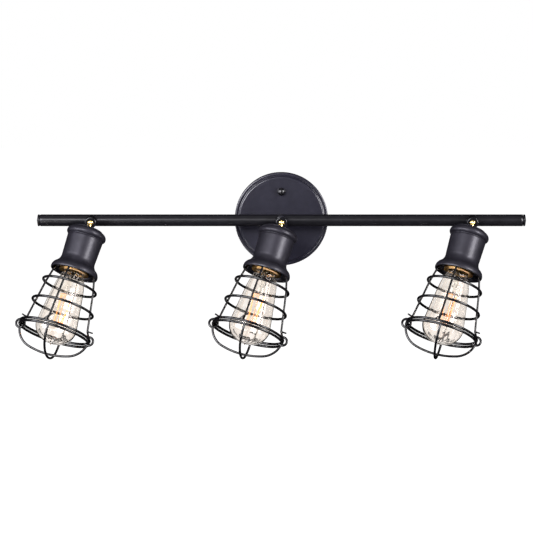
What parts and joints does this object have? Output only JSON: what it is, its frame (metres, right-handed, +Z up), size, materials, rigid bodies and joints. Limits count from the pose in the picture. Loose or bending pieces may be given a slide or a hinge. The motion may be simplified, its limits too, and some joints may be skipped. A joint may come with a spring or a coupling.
{
  "type": "vanity light bar",
  "caption": "Wall-mounted vanity light bar: a round canopy, a horizontal round bar and swivelling beaded-cup spotlights with wire cages, hinged guards and filament lamps.",
  "frame": {"origin": "wall face of the mounting plate, midway between its two box screw holes", "axes": "+X along the bar to the right as seen from the room, +Y into the wall, +Z up"},
  "size_m": [0.6839, 0.1772, 0.2456],
  "materials": {
    "dark_bronze_paint": "satin near-black bronze paint with a faint violet-grey sheen",
    "dark_bronze_wire": "the same paint on round wire, slightly glossier",
    "brass": "polished yellow brass",
    "aged_brass": "amber aged brass",
    "lamp_base_brass": "rolled screw base, satin brass",
    "zinc_steel": "zinc-plated steel",
    "green_screw": "green earth screw",
    "nylon": "natural nylon",
    "black_phenolic": "black phenolic moulding",
    "connector_plastic": "orange twist-on connector",
    "lead_insulation": "insulated lead",
    "clear_glass": "clear glass with a faint amber tint",
    "filament_wire": "glowing tungsten wire"
  },
  "bodies": {
    "fixture": {"mounting_plate": "zinc_steel", "canopy": "dark_bronze_paint", "canopy_studs": "zinc_steel", "stud_nuts": "zinc_steel", "canopy_knobs": "dark_bronze_paint", "ground_screw": "green_screw", "wire_nuts": "connector_plastic", "stem_sleeve": "dark_bronze_paint", "stem_nipple": "zinc_steel", "stem_locknut": "zinc_steel", "bar_leads": "lead_insulation", "bar_tube": "dark_bronze_paint", "bar_end_caps": "dark_bronze_paint", "swivel_saddles": "dark_bronze_paint", "swivel_rivets": "brass"},
    "swivel_left": {"collar_left": "dark_bronze_paint", "ball_seat_left": "nylon"},
    "head_left": {"ball_stem_left": "brass", "stem_nut_left": "zinc_steel", "cup_left": "dark_bronze_paint", "lampholder_left": "black_phenolic", "shade_ring_left": "aged_brass", "screw_shell_left": "brass", "centre_contact_left": "brass", "cage_left": "dark_bronze_wire", "bulb_base_left": "lamp_base_brass", "bulb_glass_left": "clear_glass", "bulb_mount_left": "clear_glass", "filament_left": "filament_wire"},
    "guard_left": {"guard_left": "dark_bronze_wire"},
    "swivel_centre": {"collar_centre": "dark_bronze_paint", "ball_seat_centre": "nylon"},
    "head_centre": {"ball_stem_centre": "brass", "stem_nut_centre": "zinc_steel", "cup_centre": "dark_bronze_paint", "lampholder_centre": "black_phenolic", "shade_ring_centre": "aged_brass", "screw_shell_centre": "brass", "centre_contact_centre": "brass", "cage_centre": "dark_bronze_wire", "bulb_base_centre": "lamp_base_brass", "bulb_glass_centre": "clear_glass", "bulb_mount_centre": "clear_glass", "filament_centre": "filament_wire"},
    "guard_centre": {"guard_centre": "dark_bronze_wire"},
    "swivel_right": {"collar_right": "dark_bronze_paint", "ball_seat_right": "nylon"},
    "head_right": {"ball_stem_right": "brass", "stem_nut_right": "zinc_steel", "cup_right": "dark_bronze_paint", "lampholder_right": "black_phenolic", "shade_ring_right": "aged_brass", "screw_shell_right": "brass", "centre_contact_right": "brass", "cage_right": "dark_bronze_wire", "bulb_base_right": "lamp_base_brass", "bulb_glass_right": "clear_glass", "bulb_mount_right": "clear_glass", "filament_right": "filament_wire"},
    "guard_right": {"guard_right": "dark_bronze_wire"}
  },
  "joints": [
    {"name": "pan_left", "type": "hinge", "parent": "fixture", "child": "swivel_left", "pos_m": [-0.256, -0.07692, -0.00196], "axis": [0, -0.9969, -0.0785], "range_deg": [-27, 63]},
    {"name": "tilt_left", "type": "hinge", "parent": "swivel_left", "child": "head_left", "pos_m": [-0.256, -0.07692, -0.00196], "axis": [0.9511, 0.0242, -0.3081], "range_deg": [-66.5, 8.5]},
    {"name": "guard_hinge_left", "type": "hinge", "parent": "head_left", "child": "guard_left", "pos_m": [-0.34589, -0.12009, -0.13104], "axis": [0.0752, 0.9288, -0.363], "range_deg": [0, 100]},
    {"name": "pan_centre", "type": "hinge", "parent": "fixture", "child": "swivel_centre", "pos_m": [0, -0.07692, -0.00196], "axis": [0, -0.9969, -0.0785], "range_deg": [-27, 63]},
    {"name": "tilt_centre", "type": "hinge", "parent": "swivel_centre", "child": "head_centre", "pos_m": [0, -0.07692, -0.00196], "axis": [0.9511, 0.0242, -0.3081], "range_deg": [-66.5, 8.5]},
    {"name": "guard_hinge_centre", "type": "hinge", "parent": "head_centre", "child": "guard_centre", "pos_m": [-0.08989, -0.12009, -0.13104], "axis": [0.0752, 0.9288, -0.363], "range_deg": [0, 100]},
    {"name": "pan_right", "type": "hinge", "parent": "fixture", "child": "swivel_right", "pos_m": [0.256, -0.07692, -0.00196], "axis": [0, -0.9969, -0.0785], "range_deg": [-27, 63]},
    {"name": "tilt_right", "type": "hinge", "parent": "swivel_right", "child": "head_right", "pos_m": [0.256, -0.07692, -0.00196], "axis": [0.9511, 0.0242, -0.3081], "range_deg": [-66.5, 8.5]},
    {"name": "guard_hinge_right", "type": "hinge", "parent": "head_right", "child": "guard_right", "pos_m": [0.16611, -0.12009, -0.13104], "axis": [0.0752, 0.9288, -0.363], "range_deg": [0, 100]}
  ]
}
